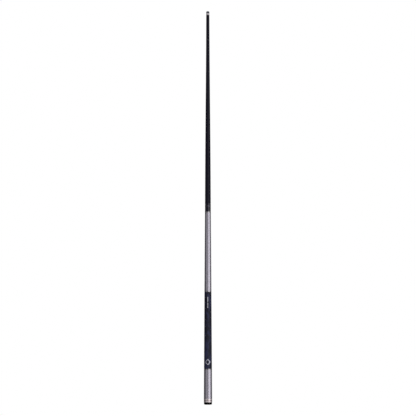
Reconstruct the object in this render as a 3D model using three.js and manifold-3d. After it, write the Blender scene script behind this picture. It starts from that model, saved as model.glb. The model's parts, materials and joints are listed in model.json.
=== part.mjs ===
// A two-piece billiard cue. The butt is the thick half that the hand holds: a painted forearm, a
// leather-wrapped handle, a painted sleeve, and a cap that takes a rubber bumper and an adjustable
// weight bolt. The shaft is the slim half: a tapered carbon-fibre tube with a ferrule and a leather
// tip, which screws onto a threaded steel pin in the butt. Every piece is turned about one axis.
// Millimetres, +Z from the bumper up to the tip, origin at the centre of the bumper's flat foot.
import * as THREE from "three";
import { mergeVertices } from "three/addons/utils/BufferGeometryUtils.js";
import Module from "manifold-3d";

// Overall size.
const LENGTH = 1473;
const JOINT = 737; // height of the two faces that meet when the shaft is screwed on
const BUTT_END_R = 15.6;
const JOINT_R = 10.8;
const FERRULE_R = 5.9;
const BUTT_SWELL = 0.25; // how far the butt's outline stands proud of a straight cone
const TAPER_EASE = 0.33; // how gently the shaft's taper starts and ends, 0 for a straight cone

// How the pieces fit.
const SIDES = 24; // flats round a turned piece
const GLUE = 0.05; // a glued seam between two faces
const SEAT = 0.1; // a glued seat, all round
const RUNNING = 0.3; // space round a piece that moves
const EDGE = 0.15; // the softened edge of a ring
const CHAMFER = 0.4;

// Heights of the butt's pieces, from the foot up.
const CAP_FROM = 8.4;
const CAP_TO = 14.6;
const ACCENT_TO = 16.2;
const CAP_RING_TO = 22;
const SLEEVE_TO = 130;
const WRAP_FROM = 134.4;
const WRAP_TO = 422;
const FOREARM_FROM = 426;
const FOREARM_TO = 718;
const BUTT_RING_TO = 723;

// Tenons, bores and the thickness of the leather.
const WRAP_THICK = 1.3;
const CAP_BORE_R = 9.5;
const CAP_NECK_TO = 36;
const REAR_TENON_R = 11.8;
const FRONT_TENON_R = 8;
const FRONT_TENON_TO = 470;
const JOINT_TENON_R = 7.5;

// The bumper: a foot that shows, and a plug that is pushed up into the cap.
const BUMPER_R = 15;
const BUMPER_EDGE_R = 3.4;
const FOOT_GROOVE_R = 10.2;
const FOOT_GROOVE = 0.8;
const BUMPER_PLUG_R = CAP_BORE_R - RUNNING;
const BUMPER_PLUG_TO = 17.4;
const BUMPER_RIB = 0.4;
const BUMPER_RIBS_AT = [11, 14.5];
const BUMPER_RIB_SPREAD = 1; // half of a rib's length

// The weight bolt behind the bumper, which screws in and out of a brass bush.
const BUSH_FROM = 38;
const BUSH_TO = 84;
const BUSH_R = 7;
const BOLT_R = 4.76;
const BOLT_TO = 78;
const BOLT_BORE_TO = 92;
const BOLT_HEAD_R = 6.5;
const BOLT_HEAD_H = 6.3;
const SOCKET_SIDES = 6;
const SOCKET_WIDTH = 6; // across its flats
const SOCKET_DEEP = 4;
const WASHER_H = 1.5;

// The stud that ties the handle to the forearm.
const STUD_R = 4;
const STUD_FROM = 438;
const STUD_TO = 512;
const BLIND = 1; // how much deeper a blind bore is than the piece in it

// The screw joint: a coarse thread on the pin, and the same thread in the shaft's insert.
const PIN_R = 4.76;
const PIN_SUNK = 45; // how far the pin goes down into the forearm
const PIN_PILOT = 3; // the plain stretch above the face
const PIN_TURNS = 9;
const PIN_NOSE = 2.4;
const GLUE_GROOVE = 1.2; // half the length of a groove that holds the glue
const GLUE_GROOVES_AT = [0.8, 0.6, 0.4]; // shares of the sunk half, from the joint face down
const THREAD_PITCH = 2.54;
const THREAD_DEEP = 1;
const THREAD_PLAY = 0.4; // between the pin's thread and the insert's
const THREAD_SIDES = 18;
const STEPS_PER_TURN = 4;
const THREAD_FROM = PIN_PILOT + CHAMFER;
const INSERT_R = 7.2;
const INSERT_THREAD_FROM = THREAD_FROM + THREAD_PITCH / 2;
const INSERT_TURNS = 10;

// Heights of the shaft's pieces, from the joint face up.
const FACE_RING_TO = 3.2;
const TRIM_RING_TO = 10.7;
const COLLAR_TO = 16.5;
const FERRULE_FROM = 722;
const FERRULE_TO = 729.4;
const PAD_TO = 730.3;
const PAD_EDGE = 0.1;
const TIP_TO = LENGTH - JOINT;
const TIP_DOME = 2.3; // how high the striking face is domed

// The tube and what is inside it, from the joint face up.
const TUBE_WALL = 1.6;
const TUBE_STATIONS = 12;
const PLUG_TENON_R = 8.4;
const PLUG_BORE_TO = 34;
const PLUG_TO = 80;
const FOAM_FROM = 430;
const FOAM_TO = 660;
const FRONT_BORE_R = 4.2;
const FRONT_BORE_FROM = 690;
const FERRULE_TENON_R = 3.4;
const FERRULE_TENON_TO = 727;

const wasm = await Module();
wasm.setup();

const finish = (color, roughness, metalness) =>
  new THREE.MeshStandardMaterial({ color, roughness, metalness });
const lacquer = () => finish(0x8f8a96, 0.35, 0.55);
const ivory = () => finish(0xcfc6c8, 0.35, 0.1);
const phenolic = () => finish(0x101014, 0.25, 0);
const steel = () => finish(0xb4b2b8, 0.3, 1);
const brass = () => finish(0xb79554, 0.35, 1);
const maple = () => finish(0xd0aa74, 0.6, 0);
const rubber = () => finish(0x08080a, 0.8, 0);

// The butt's radius at a height above the foot: a cone with a slight swell.
function buttRadius(height) {
  const share = height / JOINT;
  const swell = BUTT_SWELL * 4 * share * (1 - share);
  return THREE.MathUtils.lerp(BUTT_END_R, JOINT_R, share) + swell;
}

// The shaft's radius at a height above the joint face: a cone that starts and ends gently.
function shaftRadius(height) {
  const share = THREE.MathUtils.clamp((height - COLLAR_TO) / (FERRULE_FROM - COLLAR_TO), 0, 1);
  const eased = share - (TAPER_EASE * Math.sin(2 * Math.PI * share)) / (2 * Math.PI);
  return THREE.MathUtils.lerp(JOINT_R, FERRULE_R, eased);
}

// The points of a round stretch of outline, between two angles in degrees.
function arc(centreR, centreZ, radius, from, to, steps = 5) {
  return Array.from({ length: steps + 1 }, (_, i) => {
    const angle = THREE.MathUtils.degToRad(from + ((to - from) * i) / steps);
    return [centreR + radius * Math.cos(angle), centreZ + radius * Math.sin(angle)];
  });
}

// An outline of [radius, height] pairs turned about Z. It runs up the outside and down any bore, and
// either starts and ends on the axis or closes on itself.
function turn(outline, sides = SIDES) {
  const closed = outline[0][0] > 0 ? [...outline, outline[0]] : outline;
  const points = closed.map(([r, z]) => new THREE.Vector2(r, z));
  return new THREE.LatheGeometry(points, sides).rotateX(Math.PI / 2);
}

function piece(name, geometry, material) {
  const mesh = new THREE.Mesh(geometry, material);
  mesh.name = name;
  return mesh;
}

// A bored piece that follows the outside of the butt or the shaft from one height to the next.
function ring(name, from, to, radiusAt, boreR, material) {
  const outline = [
    [boreR, from],
    [radiusAt(from) - EDGE, from],
    [radiusAt(from), from + EDGE],
    [radiusAt(to), to - GLUE - EDGE],
    [radiusAt(to) - EDGE, to - GLUE],
    [boreR, to - GLUE],
  ];
  return piece(name, turn(outline), material);
}

// A solid rod with both ends chamfered.
function rod(name, from, to, radius, chamfer, material) {
  const outline = [
    [0, from],
    [radius - chamfer, from],
    [radius, from + chamfer],
    [radius, to - chamfer],
    [radius - chamfer, to],
    [0, to],
  ];
  return piece(name, turn(outline), material);
}

// How deep the thread is cut at a place along one pitch: 0 on the crest, 1 at the root.
function grooveAt(pitches) {
  const place = pitches - Math.floor(pitches);
  return THREE.MathUtils.clamp(1.5 - Math.abs(4 * place - 2), 0, 1);
}

// The heights, from a start, where a threaded stretch has its rings of vertices.
function threadHeights(from, turns) {
  const step = THREAD_PITCH / STEPS_PER_TURN;
  return Array.from({ length: turns * STEPS_PER_TURN + 1 }, (_, i) => from + i * step);
}

// Moves every vertex that lies at the thread's outer radius, between two heights, in to a right-hand
// thread about Z.
function cutThread(geometry, radius, from, to) {
  const place = geometry.getAttribute("position");
  const slack = 1e-3;
  for (let i = 0; i < place.count; i += 1) {
    const [x, y, z] = [place.getX(i), place.getY(i), place.getZ(i)];
    if (Math.abs(Math.hypot(x, y) - radius) > slack || z < from - slack || z > to + slack) continue;
    const turns = Math.atan2(y, x) / (2 * Math.PI);
    const kept = 1 - (THREAD_DEEP * grooveAt(z / THREAD_PITCH - turns)) / radius;
    place.setXY(i, x * kept, y * kept);
  }
  return geometry;
}

function solidOf(geometry) {
  const bare = geometry.clone().deleteAttribute("normal").deleteAttribute("uv");
  const merged = mergeVertices(bare);
  const vertProperties = merged.getAttribute("position").array;
  const triVerts = new Uint32Array(merged.index.array);
  return new wasm.Manifold(new wasm.Mesh({ numProp: 3, vertProperties, triVerts }));
}

function geometryOf(solid) {
  const { vertProperties, triVerts } = solid.getMesh();
  return new THREE.BufferGeometry()
    .setAttribute("position", new THREE.BufferAttribute(vertProperties, 3))
    .setIndex(new THREE.BufferAttribute(triVerts, 1));
}

// ---- The butt: heights are above the foot ----

// A moulded rubber foot with a groove round its sole, and a plug with two ribs that grip the cap.
function bumper() {
  const rib = (z) => [
    [BUMPER_PLUG_R - BUMPER_RIB, z - BUMPER_RIB_SPREAD],
    [BUMPER_PLUG_R, z],
    [BUMPER_PLUG_R - BUMPER_RIB, z + BUMPER_RIB_SPREAD],
  ];
  const footR = BUMPER_R - BUMPER_EDGE_R;
  const outline = [
    [0, 0],
    [FOOT_GROOVE_R - FOOT_GROOVE, 0],
    [FOOT_GROOVE_R, FOOT_GROOVE],
    [FOOT_GROOVE_R + FOOT_GROOVE, 0],
    ...arc(footR, BUMPER_EDGE_R, BUMPER_EDGE_R, -90, 0),
    [BUMPER_R, CAP_FROM - GLUE],
    [BUMPER_PLUG_R - BUMPER_RIB, CAP_FROM - GLUE],
    ...BUMPER_RIBS_AT.flatMap(rib),
    [BUMPER_PLUG_R - 3 * BUMPER_RIB, BUMPER_PLUG_TO],
    [0, BUMPER_PLUG_TO],
  ];
  return piece("bumper", turn(outline), rubber());
}

// The cap closes the butt's end. Its neck carries the two rings above it and goes into the sleeve.
function buttCap() {
  const outline = [
    [CAP_BORE_R, CAP_FROM + CHAMFER],
    [CAP_BORE_R + CHAMFER, CAP_FROM],
    [buttRadius(CAP_FROM) - CHAMFER, CAP_FROM],
    [buttRadius(CAP_FROM), CAP_FROM + CHAMFER],
    [buttRadius(CAP_TO), CAP_TO - GLUE],
    [REAR_TENON_R, CAP_TO - GLUE],
    [REAR_TENON_R, CAP_NECK_TO - CHAMFER],
    [REAR_TENON_R - CHAMFER, CAP_NECK_TO],
    [CAP_BORE_R, CAP_NECK_TO],
  ];
  return piece("butt_cap", turn(outline), ivory());
}

function rearRings() {
  const bore = REAR_TENON_R + SEAT;
  const accent = finish(0xa87873, 0.3, 0.9);
  return [
    ring("cap_accent_ring", CAP_TO, ACCENT_TO, buttRadius, bore, accent),
    ring("cap_trim_ring", ACCENT_TO, CAP_RING_TO, buttRadius, bore, ivory()),
    ring("butt_sleeve", CAP_RING_TO, SLEEVE_TO, buttRadius, bore, lacquer()),
    ring("sleeve_trim_ring", SLEEVE_TO, WRAP_FROM, buttRadius, bore, steel()),
  ];
}

// The maple dowel under the leather. It has a tenon at each end, a stepped blind bore behind for the
// weight bolt and its bush, and a blind bore in front for the stud.
function handleCore() {
  const bedR = (z) => buttRadius(z) - WRAP_THICK - SEAT;
  const middle = (WRAP_FROM + WRAP_TO) / 2;
  const outline = [
    [0, BOLT_BORE_TO],
    [BOLT_R + RUNNING, BOLT_BORE_TO],
    [BOLT_R + RUNNING, BUSH_TO + GLUE],
    [BUSH_R + SEAT, BUSH_TO + GLUE],
    [BUSH_R + SEAT, CAP_NECK_TO + GLUE],
    [REAR_TENON_R - CHAMFER, CAP_NECK_TO + GLUE],
    [REAR_TENON_R, CAP_NECK_TO + GLUE + CHAMFER],
    [REAR_TENON_R, WRAP_FROM],
    [bedR(WRAP_FROM), WRAP_FROM],
    [bedR(middle), middle],
    [bedR(WRAP_TO), WRAP_TO - GLUE],
    [FRONT_TENON_R, WRAP_TO - GLUE],
    [FRONT_TENON_R, FRONT_TENON_TO - CHAMFER],
    [FRONT_TENON_R - CHAMFER, FRONT_TENON_TO],
    [STUD_R + SEAT, FRONT_TENON_TO],
    [STUD_R + SEAT, STUD_FROM - BLIND],
    [0, STUD_FROM - BLIND],
  ];
  return piece("handle_core", turn(outline), maple());
}

function leatherWrap() {
  const middle = (WRAP_FROM + WRAP_TO) / 2;
  const outline = [
    [buttRadius(WRAP_FROM) - WRAP_THICK, WRAP_FROM],
    [buttRadius(WRAP_FROM), WRAP_FROM],
    [buttRadius(middle), middle],
    [buttRadius(WRAP_TO), WRAP_TO - GLUE],
    [buttRadius(WRAP_TO) - WRAP_THICK, WRAP_TO - GLUE],
    [buttRadius(middle) - WRAP_THICK, middle],
  ];
  return piece("leather_wrap", turn(outline), finish(0x1f2033, 0.6, 0));
}

// The painted maple forearm: bored behind for the handle's tenon and the stud, and in front for the
// pin. Its front tenon carries the trim ring and the collar, and ends at the joint face.
function forearm() {
  const middle = (FOREARM_FROM + FOREARM_TO) / 2;
  const outline = [
    [0, STUD_TO + BLIND],
    [STUD_R + SEAT, STUD_TO + BLIND],
    [STUD_R + SEAT, FRONT_TENON_TO + BLIND],
    [FRONT_TENON_R + SEAT, FRONT_TENON_TO + BLIND],
    [FRONT_TENON_R + SEAT, FOREARM_FROM],
    [buttRadius(FOREARM_FROM) - EDGE, FOREARM_FROM],
    [buttRadius(FOREARM_FROM), FOREARM_FROM + EDGE],
    [buttRadius(middle), middle],
    [buttRadius(FOREARM_TO), FOREARM_TO - GLUE],
    [JOINT_TENON_R, FOREARM_TO - GLUE],
    [JOINT_TENON_R, JOINT - GLUE],
    [PIN_R + SEAT, JOINT - GLUE],
    [PIN_R + SEAT, JOINT - PIN_SUNK - BLIND],
    [0, JOINT - PIN_SUNK - BLIND],
  ];
  return piece("forearm", turn(outline), lacquer());
}

function frontRings() {
  const bore = JOINT_TENON_R + SEAT;
  return [
    ring("wrap_trim_ring", WRAP_TO, FOREARM_FROM, buttRadius, FRONT_TENON_R + SEAT, steel()),
    ring("butt_trim_ring", FOREARM_TO, BUTT_RING_TO, buttRadius, bore, steel()),
    ring("butt_collar", BUTT_RING_TO, JOINT, buttRadius, bore, phenolic()),
  ];
}

// The threaded pin, with heights from the joint face. Its lower half is glued into the forearm, in
// grooves that hold the glue. Its upper half has a plain pilot, the thread and a rounded nose.
function jointPin() {
  const groove = (z) => [
    [PIN_R, z - GLUE_GROOVE],
    [PIN_R - GLUE_GROOVE / 2, z - GLUE_GROOVE / 2],
    [PIN_R - GLUE_GROOVE / 2, z + GLUE_GROOVE / 2],
    [PIN_R, z + GLUE_GROOVE],
  ];
  const grooves = GLUE_GROOVES_AT.flatMap((share) => groove(-PIN_SUNK * share));
  const heights = threadHeights(THREAD_FROM, PIN_TURNS);
  const top = heights.at(-1);
  const rootR = PIN_R - THREAD_DEEP;
  const outline = [
    [0, -PIN_SUNK],
    [rootR, -PIN_SUNK],
    [PIN_R, THREAD_DEEP - PIN_SUNK],
    ...grooves,
    [PIN_R, PIN_PILOT - THREAD_DEEP],
    [rootR, PIN_PILOT],
    ...heights.map((z) => [PIN_R, z]),
    [rootR, top + CHAMFER],
    [rootR - THREAD_DEEP, top + PIN_NOSE],
    [0, top + PIN_NOSE],
  ];
  const geometry = cutThread(turn(outline, THREAD_SIDES), PIN_R, heights[0], top);
  const pin = piece("joint_pin", geometry, steel());
  pin.position.z = JOINT;
  return pin;
}

// ---- The weight bolt and its bush ----

function weightBush() {
  const bore = BOLT_R + RUNNING;
  const outline = [
    [bore, BUSH_FROM + CHAMFER],
    [bore + CHAMFER, BUSH_FROM],
    [BUSH_R, BUSH_FROM],
    [BUSH_R, BUSH_TO],
    [bore, BUSH_TO],
  ];
  return piece("weight_bush", turn(outline), brass());
}

function weightWasher() {
  const from = BUSH_FROM - RUNNING - WASHER_H;
  const outline = [
    [BOLT_R + RUNNING, from],
    [BOLT_HEAD_R, from],
    [BOLT_HEAD_R, from + WASHER_H],
    [BOLT_R + RUNNING, from + WASHER_H],
  ];
  return piece("weight_washer", turn(outline), finish(0xd8d4c8, 0.6, 0));
}

// A cap screw with a hexagon socket in the underside of its head.
function weightBolt() {
  const headTo = BUSH_FROM - RUNNING - WASHER_H - GLUE;
  const headFrom = headTo - BOLT_HEAD_H;
  const body = turn([
    [0, headFrom],
    [BOLT_HEAD_R - CHAMFER, headFrom],
    [BOLT_HEAD_R, headFrom + CHAMFER],
    [BOLT_HEAD_R, headTo],
    [BOLT_R, headTo],
    [BOLT_R, BOLT_TO - THREAD_DEEP],
    [BOLT_R - THREAD_DEEP, BOLT_TO],
    [0, BOLT_TO],
  ]);
  const cornerR = SOCKET_WIDTH / 2 / Math.cos(Math.PI / SOCKET_SIDES);
  const socket = turn(
    [
      [0, headFrom - CHAMFER],
      [cornerR, headFrom - CHAMFER],
      [cornerR, headFrom + SOCKET_DEEP],
      [0, headFrom + SOCKET_DEEP + THREAD_DEEP],
    ],
    SOCKET_SIDES,
  );
  return piece("weight_bolt", geometryOf(solidOf(body).subtract(solidOf(socket))), steel());
}

// ---- The shaft: heights are above the joint face ----

// The ringwork at the shaft's foot, on the plug's tenon.
function shaftRings() {
  const bore = PLUG_TENON_R + SEAT;
  const trimBore = PLUG_TENON_R + RUNNING;
  const gunmetal = finish(0x35343c, 0.3, 0.9);
  return [
    ring("shaft_face_ring", 0, FACE_RING_TO, shaftRadius, bore, phenolic()),
    ring("shaft_trim_ring", FACE_RING_TO, TRIM_RING_TO, shaftRadius, trimBore, gunmetal),
    ring("shaft_collar", TRIM_RING_TO, COLLAR_TO, shaftRadius, bore, phenolic()),
  ];
}

// A laminated plug glued into the tube's foot. Its tenon carries the rings, and it holds the insert.
function shaftPlug() {
  const tubeBoreR = (z) => shaftRadius(z) - TUBE_WALL - SEAT;
  const outline = [
    [0, PLUG_BORE_TO],
    [INSERT_R + SEAT, PLUG_BORE_TO],
    [INSERT_R + SEAT, GLUE],
    [PLUG_TENON_R, GLUE],
    [PLUG_TENON_R, COLLAR_TO],
    [tubeBoreR(COLLAR_TO), COLLAR_TO],
    [tubeBoreR(PLUG_TO), PLUG_TO],
    [0, PLUG_TO],
  ];
  return piece("shaft_plug", turn(outline), finish(0x4a3526, 0.6, 0));
}

// A brass sleeve with a plain mouth and the inside thread.
function shaftInsert() {
  const bore = PIN_R + THREAD_PLAY;
  const heights = threadHeights(INSERT_THREAD_FROM, INSERT_TURNS);
  const top = heights.at(-1);
  const outline = [
    [bore, CHAMFER],
    [bore + CHAMFER, GLUE],
    [INSERT_R, GLUE],
    [INSERT_R, top + THREAD_DEEP],
    [bore, top + THREAD_DEEP],
    ...heights.toReversed().map((z) => [bore, z]),
    [bore, INSERT_THREAD_FROM - CHAMFER],
  ];
  const geometry = cutThread(turn(outline, THREAD_SIDES), bore, heights[0], top);
  return piece("shaft_insert", geometry, brass());
}

// The carbon-fibre tube, with a narrower bore at its front end for the ferrule's plug.
function shaftTube() {
  const rise = (FERRULE_FROM - COLLAR_TO) / TUBE_STATIONS;
  const stations = Array.from({ length: TUBE_STATIONS }, (_, i) => COLLAR_TO + i * rise);
  const top = FERRULE_FROM - GLUE;
  const outline = [
    ...stations.map((z) => [shaftRadius(z), z]),
    [FERRULE_R, top],
    [FRONT_BORE_R, top],
    [FRONT_BORE_R, FRONT_BORE_FROM],
    ...stations.toReversed().map((z) => [shaftRadius(z) - TUBE_WALL, z]),
  ];
  return piece("shaft_tube", turn(outline), finish(0x0d0d12, 0.45, 0));
}

// A rod of light foam that damps the front half of the tube.
function foamCore() {
  const fillR = (z) => shaftRadius(z) - TUBE_WALL - RUNNING;
  const middle = (FOAM_FROM + FOAM_TO) / 2;
  const outline = [
    [0, FOAM_FROM],
    [fillR(FOAM_FROM), FOAM_FROM],
    [fillR(middle), middle],
    [fillR(FOAM_TO), FOAM_TO],
    [0, FOAM_TO],
  ];
  return piece("foam_core", turn(outline), finish(0xe6e0cf, 0.9, 0));
}

// The plug that ties the ferrule to the tube: thick in the tube's bore, thin in the ferrule's.
function frontPlug() {
  const outline = [
    [0, FRONT_BORE_FROM + BLIND],
    [FRONT_BORE_R - SEAT, FRONT_BORE_FROM + BLIND],
    [FRONT_BORE_R - SEAT, FERRULE_FROM - GLUE],
    [FERRULE_TENON_R, FERRULE_FROM - GLUE],
    [FERRULE_TENON_R, FERRULE_TENON_TO],
    [0, FERRULE_TENON_TO],
  ];
  return piece("front_plug", turn(outline), maple());
}

// A capped ferrule: its blind bore takes the front plug's tenon.
function ferrule() {
  const outline = [
    [0, FERRULE_TENON_TO + SEAT],
    [FERRULE_TENON_R + SEAT, FERRULE_TENON_TO + SEAT],
    [FERRULE_TENON_R + SEAT, FERRULE_FROM],
    [FERRULE_R, FERRULE_FROM],
    [FERRULE_R, FERRULE_TO - GLUE],
    [0, FERRULE_TO - GLUE],
  ];
  return piece("ferrule", turn(outline), finish(0xcfc4c8, 0.4, 0));
}

// The leather tip, with a domed striking face.
function leatherTip() {
  const domeR = (FERRULE_R ** 2 + TIP_DOME ** 2) / (2 * TIP_DOME);
  const edge = THREE.MathUtils.radToDeg(Math.asin((domeR - TIP_DOME) / domeR));
  const dome = arc(0, TIP_TO - domeR, domeR, edge, 90);
  const outline = [[0, PAD_TO], [FERRULE_R, PAD_TO], ...dome.slice(0, -1), [0, TIP_TO]];
  return piece("leather_tip", turn(outline), finish(0x262c38, 0.85, 0));
}

// ---- The whole cue ----

const butt = new THREE.Group();
butt.add(bumper(), buttCap(), ...rearRings(), handleCore(), leatherWrap(), forearm());
butt.add(rod("handle_stud", STUD_FROM, STUD_TO, STUD_R, CHAMFER, steel()));
butt.add(...frontRings(), jointPin(), weightBush(), weightWasher(), weightBolt());

const shaft = new THREE.Group();
shaft.position.z = JOINT;
shaft.add(...shaftRings(), shaftPlug(), shaftInsert(), shaftTube(), foamCore(), frontPlug());
shaft.add(ferrule(), leatherTip());
shaft.add(rod("tip_pad", FERRULE_TO, PAD_TO - GLUE, FERRULE_R, PAD_EDGE, finish(0x1a1a1c, 0.6, 0)));

const cue = new THREE.Group();
cue.add(butt, shaft);

export default cue;
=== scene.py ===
"""The looks of a two-piece pool cue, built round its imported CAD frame. Metres, +Z from the bumper to the tip.

Nearly every piece of a cue is turned, so each CAD node gives its own outline, and the outline is turned
again with far more sides, soft corners and a smooth taper. Threads, the leather's seam and the inlays are
added to that.
"""
import json
import math

import bpy
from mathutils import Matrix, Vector, noise


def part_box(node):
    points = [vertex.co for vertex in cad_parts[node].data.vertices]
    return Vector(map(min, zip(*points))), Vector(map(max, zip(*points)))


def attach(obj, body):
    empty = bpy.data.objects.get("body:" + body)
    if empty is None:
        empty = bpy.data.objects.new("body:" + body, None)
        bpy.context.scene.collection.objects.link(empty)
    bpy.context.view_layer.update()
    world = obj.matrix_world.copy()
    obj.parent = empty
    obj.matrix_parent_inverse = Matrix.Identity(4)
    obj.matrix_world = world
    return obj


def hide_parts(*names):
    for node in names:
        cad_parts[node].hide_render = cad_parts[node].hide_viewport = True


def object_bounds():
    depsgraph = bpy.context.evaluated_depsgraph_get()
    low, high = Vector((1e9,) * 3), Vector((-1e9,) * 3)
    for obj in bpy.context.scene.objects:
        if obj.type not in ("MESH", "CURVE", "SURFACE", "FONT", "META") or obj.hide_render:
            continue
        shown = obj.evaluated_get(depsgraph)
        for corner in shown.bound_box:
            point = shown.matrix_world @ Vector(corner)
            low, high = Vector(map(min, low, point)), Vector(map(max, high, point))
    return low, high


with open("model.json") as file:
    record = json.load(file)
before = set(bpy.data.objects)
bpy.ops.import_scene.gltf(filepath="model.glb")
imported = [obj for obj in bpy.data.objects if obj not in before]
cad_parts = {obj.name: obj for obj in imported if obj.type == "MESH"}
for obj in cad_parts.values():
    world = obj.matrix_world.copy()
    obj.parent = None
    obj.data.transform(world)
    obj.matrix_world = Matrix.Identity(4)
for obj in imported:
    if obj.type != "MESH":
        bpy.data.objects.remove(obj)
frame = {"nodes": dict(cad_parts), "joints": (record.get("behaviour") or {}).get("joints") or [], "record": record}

MM = 0.001
CAD_LOW, CAD_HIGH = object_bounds()
MIDDLE = (CAD_LOW + CAD_HIGH) / 2
JOINTS = {joint["name"]: joint for joint in frame["joints"]}
JOINT_FACE = JOINTS["shaft_turn"]["pos_m"][2]
RATIOS = {c["joint"]: c["ratio"] for c in frame["record"]["behaviour"]["couplings"]}
PITCH = 2 * math.pi / RATIOS["shaft_turn"]  # how far the shaft rises in one turn
BODY_OF = {n: body for body, nodes in frame["record"]["behaviour"]["bodies"].items() for n in nodes}

# Turned pieces
SIDES = 128  # round a piece that shows
HIDDEN_SIDES = 64  # round a piece that the others cover
TAPER_STEP = 6 * MM  # between the rings of vertices on a long taper
WRAP_STEP = 3 * MM  # and on the leather
DOME_STEP = 0.25 * MM  # and on the tip's dome
CORNER = 0.2 * MM  # the soft edge of most rings
CORNER_STEPS = 4
SHARP_TURN = math.radians(12)
SHADE_SHARP = math.radians(38)
TOUCHING = 0.001 * MM  # a point nearer than this to the axis, or to the plane of an outline, is on it
LACQUERED = 0.8  # lacquer covers only what lies beyond this share of a piece's radius

# The joint's thread
THREAD_SIDES = 96
THREAD_STEPS = 16  # rings of vertices to a pitch
THREAD_SLACK = 0.01 * MM  # a CAD point this near the thread counts as part of it
CREST_SLACK = 0.005 * MM  # and so does a softened point this near its crest

# The leather wrap
SEAM_ANGLE = math.radians(90)  # the leather's seam is at the back
SEAM_STEP = math.radians(0.25)
SEAM_STEPS = 14  # to each side of the seam
SEAM_DEEP = 0.32 * MM
SEAM_REACH = 0.45 * MM  # to each side
HIDE_SHAPED = 0.6 * MM  # only what lies this near the leather's outside has the seam and is uneven
HIDE_UNEVEN = 0.03 * MM
HIDE_LUMP = 30 * MM  # about how long an uneven place is
FRONT_ANGLE = math.radians(-90)  # the inlays are at the front
INLAY_ASIDE = 0.6 * MM  # how far they sit to the left of it
INLAY_PROUD = 0.05 * MM
INLAY_SUNK = 0.12 * MM

# The studio, in metres
FLOOR_BELOW = 20 * MM  # how far below the cue, so that its bumper has room to be pulled out
FLOOR_REACH = 8.0
LIGHTS_AWAY = 2.2
LIGHTS_TALL = 3.2
LIGHTS_LEVEL = 0.1  # the height of their middles
ROOM = (0.03, 0.03, 0.033, 1)  # the dim light from everywhere else

# The camera
LENS = 400  # mm
SENSOR = 36  # mm
FILLED = 0.9457  # the share of the frame's height that the cue fills
ASIDE = 0.00025  # how far the cue stands to the left of the frame's middle, as a share of its width
ABOVE = 0.00024  # how far it stands above the middle, as a share of the height
LEAN = math.radians(0.03)  # how far it leans to the left


# ---- Outlines: (radius, height) pairs that run up the outside and down any bore ----


def cad_outline(node):
    """A turned CAD node's outline, from its vertices at the front: from axis to axis, or a loop."""
    mesh = frame["nodes"][node].data
    ahead = {}
    for v in mesh.vertices:
        if abs(v.co.x) < TOUCHING and v.co.y < TOUCHING:
            ahead[v.index] = (round(-v.co.y, 6), round(v.co.z, 6))
    links = {}
    for edge in mesh.edges:
        ends = [ahead.get(i) for i in edge.vertices]
        if None not in ends and ends[0] != ends[1]:
            links.setdefault(ends[0], set()).add(ends[1])
            links.setdefault(ends[1], set()).add(ends[0])
    starts = sorted(p for p in links if len(links[p]) == 1)
    path = [starts[0] if starts else min(links)]
    while True:
        onward = [p for p in sorted(links[path[-1]]) if p not in path]
        if not onward:
            break
        path.append(onward[0])
    turning = sum(a[0] * b[1] - b[0] * a[1] for a, b in zip(path, path[1:] + path[:1]))
    return path if turning > 0 else path[::-1]


def is_loop(outline):
    return outline[0][0] > TOUCHING


def turn_at(before, here, after):
    """The angle by which an outline turns at a point."""
    a, b = Vector(here) - Vector(before), Vector(after) - Vector(here)
    return abs(a.angle_signed(b, 0.0))


def neighbours(outline, i):
    """The points before and after a point, or None past the ends of an outline that starts on the axis."""
    if is_loop(outline):
        return outline[i - 1], outline[(i + 1) % len(outline)]
    return (outline[i - 1] if i else None), (outline[i + 1] if i + 1 < len(outline) else None)


def softened(outline, radius):
    """The outline with each corner rounded, to a radius or to what its sides leave room for."""
    made = []
    for i, here in enumerate(outline):
        before, after = neighbours(outline, i)
        if before is None or after is None or turn_at(before, here, after) < SHARP_TURN:
            made.append(here)
            continue
        p, a, b = Vector(here), Vector(before), Vector(after)
        cut = min(radius, 0.45 * (a - p).length, 0.45 * (b - p).length)
        start, end = p + (a - p).normalized() * cut, p + (b - p).normalized() * cut
        for step in range(CORNER_STEPS + 1):
            t = step / CORNER_STEPS
            made.append(tuple((1 - t) ** 2 * start + 2 * t * (1 - t) * p + t * t * end))
    return made


def heading(outline, i, stretch):
    """Which way an eased outline heads at a point: level on the axis, midway between two long stretches, or
    else along this one."""
    here = outline[i % len(outline)]
    before, after = neighbours(outline, i % len(outline))
    if before is None or after is None:
        return Vector((math.copysign(stretch.length, stretch.x), 0))
    if turn_at(before, here, after) > SHARP_TURN:
        return stretch
    shorter = min((Vector(here) - Vector(before)).length, (Vector(after) - Vector(here)).length)
    if shorter < 0.5 * stretch.length:
        return stretch
    return (Vector(after) - Vector(before)).normalized() * stretch.length


def eased(outline, step):
    """The outline with points added along its long stretches, on a smooth curve where two of them meet."""
    made = []
    for i, here in enumerate(outline):
        made.append(here)
        if i + 1 == len(outline) and not is_loop(outline):
            break
        a, b = Vector(here), Vector(outline[(i + 1) % len(outline)])
        start, end = heading(outline, i, b - a), heading(outline, i + 1, b - a)
        parts = math.ceil((b - a).length / step)
        for k in range(1, parts):
            t = k / parts
            near, far = 2 * t**3 - 3 * t**2 + 1, 3 * t**2 - 2 * t**3
            point = near * a + far * b + (t**3 - 2 * t**2 + t) * start + (t**3 - t**2) * end
            made.append(tuple(point))
    return made


# ---- Building pieces ----


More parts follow.
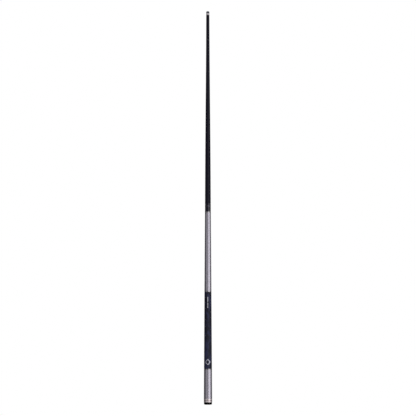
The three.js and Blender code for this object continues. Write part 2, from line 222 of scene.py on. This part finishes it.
def turned(name, outline, sides=SIDES, shape=None, angles=None):
    """A mesh object turned from an outline. shape(radius, height, angle) may move a vertex in or out."""
    angles = angles or [2 * math.pi * k / sides for k in range(sides)]
    vertices, rings = [], []
    for radius, height in outline:
        if radius < TOUCHING:
            rings.append([len(vertices)])
            vertices.append((0, 0, height))
            continue
        ring = []
        for angle in angles:
            r = shape(radius, height, angle) if shape else radius
            ring.append(len(vertices))
            vertices.append((r * math.cos(angle), r * math.sin(angle), height))
        rings.append(ring)
    if is_loop(outline):
        rings.append(rings[0])
    faces = [face for low, high in zip(rings, rings[1:]) for face in strip(low, high)]
    return mesh_object(name, vertices, faces)


def strip(low, high):
    """The faces between two rings of vertices. Either ring may be a single vertex."""
    faces = []
    count = max(len(low), len(high))
    for k in range(count):
        n = (k + 1) % count
        corners = [low[k % len(low)], low[n % len(low)], high[n % len(high)], high[k % len(high)]]
        faces.append(tuple(dict.fromkeys(corners)))
    return faces


def mesh_object(name, vertices, faces):
    mesh = bpy.data.meshes.new(name)
    mesh.from_pydata(vertices, [], faces)
    mesh.validate()
    mesh.shade_smooth()
    mesh.set_sharp_from_angle(angle=SHADE_SHARP)
    piece = bpy.data.objects.new(name, mesh)
    bpy.context.scene.collection.objects.link(piece)
    return piece


def stands_for(piece, node, *materials):
    """The piece takes a CAD node's place: its body, and its new materials."""
    for material in materials:
        piece.data.materials.append(material)
    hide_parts(node)
    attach(piece, BODY_OF[node])


def outwardness(face):
    """1 for a face that looks straight out from the axis, and -1 for one that looks straight in."""
    return Vector(face.normal[:2]).dot(Vector(face.center[:2]).normalized())


def lathe(node, material, corner=0.3 * MM, sides=SIDES, bare=None, step=TAPER_STEP):
    """A CAD node turned again with soft corners. bare is the material of the faces that don't show."""
    outline = eased(softened(cad_outline(node), corner), step)
    piece = turned(node + "_turned", outline, sides)
    stands_for(piece, node, *filter(None, (material, bare)))
    if bare:
        covered_from = LACQUERED * max(radius for radius, _ in outline)
        for face in piece.data.polygons:
            covered = outwardness(face) > 0.5 and Vector(face.center[:2]).length > covered_from
            face.material_index = 0 if covered else 1


# ---- Threads ----


def groove(pitches):
    """How deep a thread is at a place along one pitch: 0 on the crest, 1 at the root, with soft flanks."""
    place = abs((pitches - math.floor(pitches)) * 4 - 2)
    depth = min(max(1.5 - place, 0), 1)
    return depth * depth * (3 - 2 * depth)


def thread(crest, depth, low, high, nosed):
    """A shape for turned(): a right-hand thread, which runs out over one pitch at each end. If it is nosed
    its upper end does not run out, and the bevelled outline cuts it off instead."""

    def shape(radius, height, angle):
        to_end = PITCH if nosed else high - height
        ends = min(height - low, to_end, PITCH) / PITCH
        if ends <= 0 or radius > crest + CREST_SLACK:
            return radius
        cut = groove((height - JOINT_FACE) / PITCH - angle / (2 * math.pi))
        return min(radius, crest - depth * ends * cut)

    return shape


def threaded_span(node):
    """A CAD node's thread: its outer radius, its depth, and its lowest and highest place. Only there does
    the radius differ from side to side, so a level has more than the two radii of a flat end."""
    levels = {}
    for v in frame["nodes"][node].data.vertices:
        levels.setdefault(round(v.co.z, 5), set()).add(round(math.hypot(v.co.x, v.co.y), 5))
    cut = {z: radii for z, radii in levels.items() if len(radii) > 2}
    outer = max(max(radii) for radii in cut.values())
    inner = min(min(radii) for radii in cut.values())
    return outer, outer - inner, min(cut), max(cut)


def threaded(node, material, nosed=False):
    """A CAD node with its thread turned again in finer steps, and with a long bevel if nosed."""
    crest, depth, low, high = threaded_span(node)
    outline = []
    for r, z in cad_outline(node):
        if r > crest + THREAD_SLACK or not low - THREAD_SLACK < z < high + THREAD_SLACK:
            outline.append((r, z))
        elif z < low + THREAD_SLACK:
            outline.append((crest, low))
        elif z > high - THREAD_SLACK:
            outline.append((crest, high - PITCH if nosed else high))
    outline = eased(softened(outline, CORNER), PITCH / THREAD_STEPS)
    piece = turned(node + "_turned", outline, THREAD_SIDES, thread(crest, depth, low, high, nosed))
    stands_for(piece, node, material)


# ---- Materials ----


class Finish:
    """A material on the Principled shader, with short calls for the nodes that its detail is made of."""

    def __init__(self, name, **sockets):
        self.material = bpy.data.materials.new(name)
        self.material.use_nodes = True
        self.tree = self.material.node_tree
        self.shader = self.tree.nodes["Principled BSDF"]
        self.place = self.tree.nodes.new("ShaderNodeTexCoord").outputs["Object"]
        for socket, value in sockets.items():
            self.set(socket.replace("_", " "), value)

    def set(self, socket, value):
        self.feed(value, self.shader.inputs[socket])

    def feed(self, value, socket):
        if isinstance(value, bpy.types.NodeSocket):
            self.tree.links.new(value, socket)
        else:
            socket.default_value = value

    def add(self, kind, inputs, **settings):
        made = self.tree.nodes.new("ShaderNode" + kind)
        for name, value in settings.items():
            setattr(made, name, value)
        for name, value in inputs.items():
            self.feed(value, made.inputs[name])
        return made

    def stretched(self, x, y, z):
        """The place on the piece, in metres, with each axis scaled."""
        return self.add("Mapping", {"Vector": self.place, "Scale": (x, y, z)}).outputs["Vector"]

    def noise(self, size, detail=4, place=None, distortion=0.0):
        """Soft noise whose lumps are about size metres across."""
        inputs = {"Scale": 1 / size, "Detail": detail, "Distortion": distortion}
        inputs["Vector"] = place or self.place
        return self.add("TexNoise", inputs).outputs["Fac"]

    def cells(self, size, output="Distance", feature="F1", place=None):
        """Rounded cells about size metres across."""
        inputs = {"Scale": 1 / size, "Vector": place or self.place}
        return self.add("TexVoronoi", inputs, feature=feature).outputs[output]

    def wavering(self, reach, size):
        """The place on the piece, pushed about by up to reach metres by noise of a size."""
        push = self.add("TexNoise", {"Scale": 1 / size, "Vector": self.place}).outputs["Color"]
        centred = self.add("VectorMath", {0: push, 1: (0.5, 0.5, 0.5)}, operation="SUBTRACT").outputs[0]
        moved = self.add("VectorMath", {0: centred, "Scale": 2 * reach}, operation="SCALE").outputs[0]
        return self.add("VectorMath", {0: moved, 1: self.place}, operation="ADD").outputs[0]

    def maths(self, operation, a, b=0.0):
        return self.add("Math", {0: a, 1: b}, operation=operation).outputs[0]

    def spread(self, value, low, high, start=0.3, end=0.7):
        """A value from start to end, spread over low to high."""
        inputs = {"Value": value, "From Min": start, "From Max": end, "To Min": low, "To Max": high}
        return self.add("MapRange", inputs).outputs["Result"]

    def mixed(self, share, a, b):
        """A colour between two, each of them a tuple or a socket."""
        ends = [(*c, 1) if isinstance(c, tuple) else c for c in (a, b)]
        return self.add("Mix", {0: share, 6: ends[0], 7: ends[1]}, data_type="RGBA").outputs[2]

    def bump(self, height, depth, strength=1.0):
        """Adds a fine relief, depth metres high, over what relief there is."""
        normal = self.shader.inputs["Normal"]
        inputs = {"Height": height, "Distance": depth, "Strength": strength}
        if normal.is_linked:
            inputs["Normal"] = normal.links[0].from_socket
        self.set("Normal", self.add("Bump", inputs).outputs["Normal"])

    def tool_marks(self, depth, size=0.12 * MM):
        """The fine rings that a lathe tool leaves, which differ only along the axis."""
        marks = self.noise(size, detail=3, place=self.stretched(0.02, 0.02, 1))
        self.bump(marks, depth)
        return marks


def silver_lacquer():
    """Metallic flakes under a clear coat."""
    f = Finish("silver_lacquer", Metallic=0.78, Coat_Weight=0.5, Coat_Roughness=0.07)
    flake = f.cells(0.22 * MM, "Color")
    cloud = f.noise(18 * MM, detail=3)
    tint = f.mixed(f.spread(flake, 0, 1, 0, 1), (0.52, 0.49, 0.575), (0.68, 0.645, 0.745))
    f.set("Base Color", f.mixed(f.spread(cloud, 0, 0.2), tint, (0.66, 0.62, 0.7)))
    f.set("Roughness", f.spread(f.noise(4 * MM), 0.33, 0.4))
    f.bump(flake, 0.01 * MM, 0.4)
    f.bump(f.noise(1.4 * MM, detail=2), 0.004 * MM, 0.4)
    return f.material


def pearl_plastic():
    f = Finish("pearl_plastic", Metallic=0.55, Coat_Weight=0.5, Coat_Roughness=0.08)
    swirl = f.noise(5 * MM, detail=6, distortion=2.5)
    f.set("Base Color", f.mixed(f.spread(swirl, 0, 1), (0.83, 0.735, 0.755), (0.95, 0.865, 0.88)))
    f.set("Roughness", f.spread(swirl, 0.24, 0.34))
    f.tool_marks(0.004 * MM)
    return f.material


def turned_metal(name, colour, roughness):
    """Metal straight off a lathe: tool marks round it, and a few rubbed patches."""
    f = Finish(name, Metallic=1.0)
    marks = f.tool_marks(0.008 * MM)
    rubbed = f.noise(3 * MM, detail=5)
    dark = tuple(0.78 * c for c in colour)
    f.set("Base Color", f.mixed(f.spread(marks, 0, 0.6), colour, dark))
    f.set("Roughness", f.spread(rubbed, 0.8 * roughness, 1.4 * roughness))
    return f.material


def black_phenolic():
    f = Finish("black_phenolic", Base_Color=(0.0045, 0.003, 0.014, 1), Coat_Weight=0.4, Coat_Roughness=0.05)
    f.set("Roughness", f.spread(f.noise(2.5 * MM, detail=6), 0.1, 0.22))
    f.tool_marks(0.003 * MM)
    return f.material


def carbon_fibre():
    """A satin unidirectional weave: fine strands along the shaft, gathered in faint bands."""
    f = Finish("carbon_fibre", Specular_IOR_Level=0.2)
    strands = f.noise(0.28 * MM, detail=3, place=f.stretched(1, 1, 0.03))
    bands = f.noise(2.2 * MM, detail=2, place=f.stretched(1, 1, 0.25))
    f.set("Base Color", f.mixed(f.spread(strands, 0, 1), (0.004, 0.0035, 0.01), (0.012, 0.011, 0.023)))
    f.set("Roughness", f.spread(bands, 0.36, 0.48))
    f.bump(strands, 0.01 * MM, 0.5)
    return f.material


def wrap_leather():
    """Navy leather, rubbed darker in broad patches, with a pebbled grain, and creases between the pebbles that are
    painted darker as shade.
    """
    f = Finish("wrap_leather", Specular_IOR_Level=0.35)
    patches = f.noise(16 * MM, detail=3, place=f.stretched(1, 1, 0.5), distortion=0.8)
    uneven = f.wavering(0.5 * MM, 1.5 * MM)
    crease_relief_and_shade = f.cells(0.95 * MM, "Distance", "DISTANCE_TO_EDGE", place=uneven)
    fine = f.noise(0.25 * MM, detail=5)
    hide = f.mixed(f.spread(patches, 0, 1, 0.44, 0.56), (0.0105, 0.0105, 0.024), (0.027, 0.03, 0.084))
    # painted shade: the leather's colour darkens towards each crease between the pebbles, where shade would fall
    f.set("Base Color", f.mixed(f.spread(crease_relief_and_shade, 0.5, 0, 0, 0.14), hide, (0.005, 0.005, 0.009)))
    f.set("Roughness", f.spread(fine, 0.48, 0.7))
    f.bump(f.spread(crease_relief_and_shade, 0, 1, 0, 0.3), 0.07 * MM)
    f.bump(fine, 0.02 * MM, 0.6)
    return f.material


def suede():
    f = Finish("suede", Roughness=0.95, Sheen_Weight=0.3)
    nap = f.noise(0.4 * MM, detail=6)
    f.set("Base Color", f.mixed(f.spread(nap, 0, 1), (0.035, 0.03, 0.035), (0.07, 0.062, 0.066)))
    f.bump(nap, 0.06 * MM)
    return f.material


def foil():
    """Silver foil pressed into the leather, thin enough for the grain to show through it."""
    f = Finish("foil", Metallic=0.6)
    grain = f.noise(0.4 * MM, detail=5)
    f.set("Base Color", f.mixed(f.spread(grain, 0, 1), (0.8, 0.8, 0.88), (0.56, 0.56, 0.64)))
    f.set("Roughness", f.spread(grain, 0.35, 0.6))
    f.bump(f.cells(0.95 * MM, "Distance", "SMOOTH_F1"), 0.04 * MM, -0.5)
    return f.material


def rubber():
    f = Finish("rubber", Specular_IOR_Level=0.06)
    dust = f.noise(1.8 * MM, detail=6)
    dusty = f.spread(dust, 0, 0.5, 0.5, 0.8)
    f.set("Base Color", f.mixed(dusty, (0.001, 0.001, 0.0015), (0.004, 0.004, 0.0045)))
    f.set("Roughness", f.spread(dust, 0.62, 0.85))
    f.bump(f.noise(0.25 * MM, detail=4), 0.03 * MM)
    return f.material


def wood(name, pale, dark, size):
    """Straight grain along the axis, with pores and a slow waver."""
    f = Finish(name)
    grain = f.noise(size, detail=6, place=f.stretched(1, 1, 0.05), distortion=0.8)
    pores = f.noise(0.25 * MM, detail=3, place=f.stretched(1, 1, 0.08))
    f.set("Base Color", f.mixed(f.spread(grain, 0, 1), pale, dark))
    f.set("Roughness", f.spread(pores, 0.5, 0.72))
    f.bump(pores, 0.03 * MM, 0.6)
    return f.material


def laminate():
    """Thin sheets of dark wood and resin pressed together across the axis."""
    f = Finish("laminate")
    sheets = f.noise(0.7 * MM, detail=1, place=f.stretched(1, 0.05, 0.05))
    f.set("Base Color", f.mixed(f.spread(sheets, 0, 1, 0.45, 0.55), (0.06, 0.03, 0.018), (0.2, 0.115, 0.06)))
    f.set("Roughness", f.spread(sheets, 0.4, 0.6))
    f.bump(sheets, 0.01 * MM)
    return f.material


def foam():
    f = Finish("foam")
    bubble_depth_and_shade = f.cells(0.8 * MM)
    # painted shade: each bubble's colour is darker towards its hollow middle and paler on its rims
    f.set("Base Color", f.mixed(f.spread(bubble_depth_and_shade, 0, 1, 0, 0.8), (0.55, 0.5, 0.4), (0.85, 0.81, 0.7)))
    f.set("Roughness", f.spread(bubble_depth_and_shade, 0.8, 0.95, 0, 0.8))
    f.bump(bubble_depth_and_shade, 0.2 * MM)
    return f.material


def nylon():
    f = Finish("nylon", Subsurface_Weight=0.1)
    haze = f.noise(1.5 * MM, detail=4)
    f.set("Base Color", f.mixed(f.spread(haze, 0, 1), (0.62, 0.59, 0.5), (0.73, 0.7, 0.63)))
    f.set("Roughness", f.spread(haze, 0.38, 0.55))
    f.tool_marks(0.006 * MM)
    return f.material


def ferrule_plastic():
    """Pale plastic, with a little blue chalk rubbed in towards the tip."""
    f = Finish("ferrule_plastic", Coat_Weight=0.3, Coat_Roughness=0.12)
    low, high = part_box("ferrule")[0].z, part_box("ferrule")[1].z
    height = f.add("SeparateXYZ", {"Vector": f.place}).outputs["Z"]
    near_tip = f.spread(height, 0, 1, low, high)
    chalk = f.maths("MULTIPLY", near_tip, f.spread(f.noise(1.1 * MM, detail=6), 0, 0.7, 0.5, 0.75))
    plain = f.mixed(f.spread(f.noise(2 * MM), 0, 1), (0.62, 0.57, 0.6), (0.72, 0.67, 0.7))
    f.set("Base Color", f.mixed(chalk, plain, (0.2, 0.3, 0.42)))
    f.set("Roughness", f.spread(chalk, 0.32, 0.6, 0, 0.6))
    f.tool_marks(0.004 * MM)
    return f.material


def tip_leather():
    """Pressed layers of leather, dyed dark blue, with chalk dust on the dome."""
    f = Finish("tip_leather")
    layers = f.noise(0.35 * MM, detail=1, place=f.stretched(0.03, 0.03, 1))
    dust = f.noise(0.5 * MM, detail=8)
    dyed = f.mixed(f.spread(layers, 0, 1, 0.42, 0.58), (0.004, 0.014, 0.028), (0.012, 0.034, 0.058))
    f.set("Base Color", f.mixed(f.spread(dust, 0, 0.75, 0.5, 0.7), dyed, (0.025, 0.09, 0.165)))
    f.set("Roughness", f.spread(dust, 0.75, 0.95))
    f.bump(dust, 0.08 * MM)
    f.bump(layers, 0.03 * MM)
    return f.material


def fibre_pad():
    f = Finish("fibre_pad")
    fibres = f.noise(0.2 * MM, detail=5, place=f.stretched(1, 1, 3))
    f.set("Base Color", f.mixed(f.spread(fibres, 0, 1), (0.012, 0.012, 0.014), (0.035, 0.034, 0.036)))
    f.set("Roughness", f.spread(fibres, 0.5, 0.75))
    f.bump(fibres, 0.03 * MM)
    return f.material


# ---- The leather wrap, with its seam and inlays ----


def seam_angles():
    """Angles round the wrap, close together near the seam."""
    wide = [2 * math.pi * k / SIDES for k in range(SIDES)]
    near = [SEAM_ANGLE + SEAM_STEP * k for k in range(-SEAM_STEPS, SEAM_STEPS + 1)]
    clear = [a for a in wide if abs(a - SEAM_ANGLE) > SEAM_STEP * (SEAM_STEPS + 2)]
    return sorted(clear + near)


def seam(radius, height, angle):
    """A shape for turned(): the leather's two edges roll down into a narrow seam, and the hide is uneven."""
    if radius < wrap_radius(height) - HIDE_SHAPED:
        return radius
    away = radius * (angle - SEAM_ANGLE)
    rolled = SEAM_DEEP * math.exp(-((away / SEAM_REACH) ** 2))
    place = Vector((2 * math.cos(angle), 2 * math.sin(angle), height / HIDE_LUMP))
    return radius - rolled - HIDE_UNEVEN * (1 + noise.noise(place))


def rising_side(node):
    """The outside of a CAD node, as (height, radius) pairs from the bottom up."""
    outline = eased(cad_outline(node), TAPER_STEP)
    stretches = zip(outline, outline[1:] + outline[:1])
    return sorted({(z, r) for a, b in stretches if b[1] > a[1] for r, z in (a, b)})


def wrap_radius(height):
    """The leather's outside radius at a height."""
    low = max((row for row in WRAP_SIDE if row[0] <= height), default=WRAP_SIDE[0])
    high = min((row for row in WRAP_SIDE if row[0] >= height), default=WRAP_SIDE[-1])
    share = 0 if high == low else (height - low[0]) / (high[0] - low[0])
    return low[1] + share * (high[1] - low[1])


WRAP_SIDE = rising_side("leather_wrap")


def wrap(material, inside):
    outline = eased(softened(cad_outline("leather_wrap"), 0.6 * MM), WRAP_STEP)
    piece = turned("leather_wrap_grained", outline, shape=seam, angles=seam_angles())
    stands_for(piece, "leather_wrap", material, inside)
    for face in piece.data.polygons:
        face.material_index = 0 if outwardness(face) > 0 else 1


def pointed_edge(shoulder, steps=24):
    """Places round a bar with pointed ends, from -1 to 1 both ways. With no shoulder it is a diamond."""
    corners = [(1, shoulder), (0, 1), (-1, shoulder), (-1, -shoulder), (0, -1), (1, -shoulder)]
    corners = [Vector(c) for c in dict.fromkeys(corners)]
    sides = zip(corners, corners[1:] + corners[:1])
    return [a.lerp(b, k / steps) for a, b in sides for k in range(steps)]


def on_wrap(across, height, proud):
    """A place on the leather's front, across being how far round it lies from the inlays' middle line."""
    radius = wrap_radius(height)
    angle = FRONT_ANGLE + (across - INLAY_ASIDE) / radius
    return (radius + proud) * math.cos(angle), (radius + proud) * math.sin(angle), height


def inlay(name, centre, half_width, half_height, material, shoulder=0.0, hollow=0.0, loops=10):
    """A thin pointed plate of foil on the leather's front. shoulder is the share of its length with full
    width, and hollow the share of its size that is open in the middle."""
    edge = pointed_edge(shoulder)
    vertices, faces = [], []

    def sheet(proud):
        """Loops of vertices from the opening, or the middle, out to the edge."""
        rows = []
        for k in range(loops + 1):
            size = hollow + (1 - hollow) * k / loops
            places = edge if size > 0 else [Vector((0, 0))]
            rows.append([len(vertices) + i for i in range(len(places))])
            for u, v in places:
                vertices.append(on_wrap(u * size * half_width, centre + v * size * half_height, proud))
        return rows

    top, bottom = sheet(INLAY_PROUD), sheet(-INLAY_SUNK)
    for inner, outer in zip(top, top[1:]):
        faces += strip(outer, inner)
    for inner, outer in zip(bottom, bottom[1:]):
        faces += strip(inner, outer)
    faces += strip(bottom[-1], top[-1])
    if hollow:
        faces += strip(top[0], bottom[0])
    piece = mesh_object(name, vertices, faces)
    piece.data.materials.append(material)
    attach(piece, "butt")


def inlays():
    """Two slim bars towards the front of the wrap and an open diamond near its back end."""
    material = foil()
    low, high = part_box("leather_wrap")[0].z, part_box("leather_wrap")[1].z
    length = high - low
    for k, share in enumerate((0.827, 0.904)):
        inlay(f"bar_inlay_{k + 1}", low + share * length, 1.45 * MM, 10.5 * MM, material, shoulder=0.85)
    inlay("diamond_inlay", low + 0.088 * length, 10.8 * MM, 12 * MM, material, hollow=0.7)


# ---- The whole cue ----


def butt(maple, phenolic, steel):
    lacquer, bright = silver_lacquer(), turned_metal("bright_ring", (0.6, 0.58, 0.62), 0.28)
    pearl, copper = pearl_plastic(), turned_metal("copper_ring", (0.6, 0.45, 0.455), 0.25)
    lathe("bumper", rubber(), corner=0.4 * MM)
    lathe("butt_cap", pearl, corner=0.35 * MM)
    lathe("cap_accent_ring", copper, corner=0.12 * MM)
    lathe("cap_trim_ring", pearl, CORNER)
    lathe("butt_sleeve", lacquer, CORNER, bare=maple)
    lathe("sleeve_trim_ring", bright, CORNER)
    lathe("wrap_trim_ring", bright, CORNER)
    lathe("forearm", lacquer, CORNER, bare=maple)
    lathe("butt_trim_ring", bright, CORNER)
    lathe("butt_collar", phenolic, CORNER)
    lathe("handle_core", maple, sides=HIDDEN_SIDES)
    wrap(wrap_leather(), suede())
    inlays()
    lathe("handle_stud", steel, sides=HIDDEN_SIDES)
    threaded("joint_pin", steel, nosed=True)


def weight(steel, brass):
    """The bolt keeps its CAD shape, because its socket has six sides and can't be turned."""
    lathe("weight_bush", brass, sides=HIDDEN_SIDES)
    lathe("weight_washer", nylon(), sides=HIDDEN_SIDES)
    bolt = frame["nodes"]["weight_bolt"]
    bolt.data.materials.clear()
    bolt.data.materials.append(steel)


def shaft(maple, phenolic, brass):
    lathe("shaft_face_ring", phenolic, CORNER)
    lathe("shaft_trim_ring", turned_metal("gunmetal", (0.11, 0.104, 0.135), 0.24), CORNER)
    lathe("shaft_collar", phenolic, CORNER)
    lathe("shaft_plug", laminate(), sides=HIDDEN_SIDES)
    lathe("shaft_tube", carbon_fibre(), corner=0.15 * MM)
    lathe("foam_core", foam(), sides=HIDDEN_SIDES)
    lathe("front_plug", maple, sides=HIDDEN_SIDES)
    lathe("ferrule", ferrule_plastic(), corner=0.15 * MM)
    lathe("tip_pad", fibre_pad(), corner=0.12 * MM)
    lathe("leather_tip", tip_leather(), corner=0.5 * MM, step=DOME_STEP)
    threaded("shaft_insert", brass)


def cue():
    maple = wood("maple", (0.72, 0.52, 0.3), (0.5, 0.32, 0.16), 1.6 * MM)
    phenolic = black_phenolic()
    steel = turned_metal("plain_steel", (0.6, 0.59, 0.6), 0.3)
    brass = turned_metal("brass", (0.8, 0.58, 0.27), 0.28)
    butt(maple, phenolic, steel)
    weight(steel, brass)
    shaft(maple, phenolic, brass)


# ---- The studio ----


def floor():
    """A plain white floor, which gives no light to the cue and takes no shadow."""
    quarters = [(-1, -1), (1, -1), (1, 1), (-1, 1)]
    corners = [(x * FLOOR_REACH, y * FLOOR_REACH, CAD_LOW.z - FLOOR_BELOW) for x, y in quarters]
    plane = mesh_object("floor", corners, [(0, 1, 2, 3)])
    material = bpy.data.materials.new("floor")
    material.use_nodes = True
    tree = material.node_tree
    tree.nodes.clear()
    glow = tree.nodes.new("ShaderNodeEmission")
    tree.links.new(glow.outputs[0], tree.nodes.new("ShaderNodeOutputMaterial").inputs["Surface"])
    plane.data.materials.append(material)
    plane.visible_diffuse = False
    plane.visible_glossy = False
    plane.visible_shadow = False


def softbox(name, azimuth, width, power):
    """A tall soft light that faces the cue. Azimuth 0 is towards the camera, and positive is to its right."""
    data = bpy.data.lights.new(name, "AREA")
    data.shape = "RECTANGLE"
    data.size, data.size_y = width, LIGHTS_TALL
    data.energy = power
    lamp = bpy.data.objects.new(name, data)
    angle = math.radians(azimuth)
    aim = Vector((0, 0, LIGHTS_LEVEL))
    lamp.location = aim + LIGHTS_AWAY * Vector((math.sin(angle), -math.cos(angle), 0))
    lamp.rotation_euler = (aim - lamp.location).to_track_quat("-Z", "Y").to_euler()
    lamp.visible_camera = False
    bpy.context.scene.collection.objects.link(lamp)


def overhead(name, azimuth, elevation, strength):
    """A broad light high up, which evens out the shading. Its azimuth is measured as a softbox's is."""
    data = bpy.data.lights.new(name, "SUN")
    data.angle = math.radians(40)
    data.energy = strength
    lamp = bpy.data.objects.new(name, data)
    lamp.rotation_euler = (math.radians(90 - elevation), 0, math.radians(azimuth))
    bpy.context.scene.collection.objects.link(lamp)


def studio():
    """A key light to the right, a weak fill to the left, a narrow light behind, two broad lights high up,
    and a white backdrop."""
    softbox("key", azimuth=43, width=2.3, power=28)
    softbox("fill", azimuth=-40, width=1.6, power=5)
    softbox("back", azimuth=180, width=0.8, power=10)
    overhead("overhead", azimuth=0, elevation=50, strength=1.5)
    overhead("overhead_back", azimuth=180, elevation=45, strength=1.0)
    world = bpy.data.worlds.new("studio")
    world.use_nodes = True
    bpy.context.scene.world = world
    nodes, links = world.node_tree.nodes, world.node_tree.links
    backdrop, room = nodes["Background"], nodes.new("ShaderNodeBackground")
    backdrop.inputs["Color"].default_value = (1, 1, 1, 1)
    room.inputs["Color"].default_value = ROOM
    seen, either = nodes.new("ShaderNodeLightPath"), nodes.new("ShaderNodeMixShader")
    links.new(seen.outputs["Is Camera Ray"], either.inputs[0])
    links.new(room.outputs[0], either.inputs[1])
    links.new(backdrop.outputs[0], either.inputs[2])
    links.new(either.outputs[0], nodes["World Output"].inputs["Surface"])
    bpy.context.scene.view_settings.view_transform = "Standard"


def camera():
    """Level with the cue's middle, so far back that the cue nearly fills the frame, and a hair off true."""
    data = bpy.data.cameras.new("camera")
    data.lens = LENS
    data.sensor_width = SENSOR
    data.shift_x = ASIDE
    data.shift_y = -ABOVE
    eye = bpy.data.objects.new("camera", data)
    distance = (CAD_HIGH.z - CAD_LOW.z) / FILLED * LENS / SENSOR
    eye.location = MIDDLE + Vector((0, -distance, 0))
    eye.rotation_euler = (math.radians(90), LEAN, 0)
    bpy.context.scene.collection.objects.link(eye)
    bpy.context.scene.camera = eye


cue()
floor()
studio()
camera()
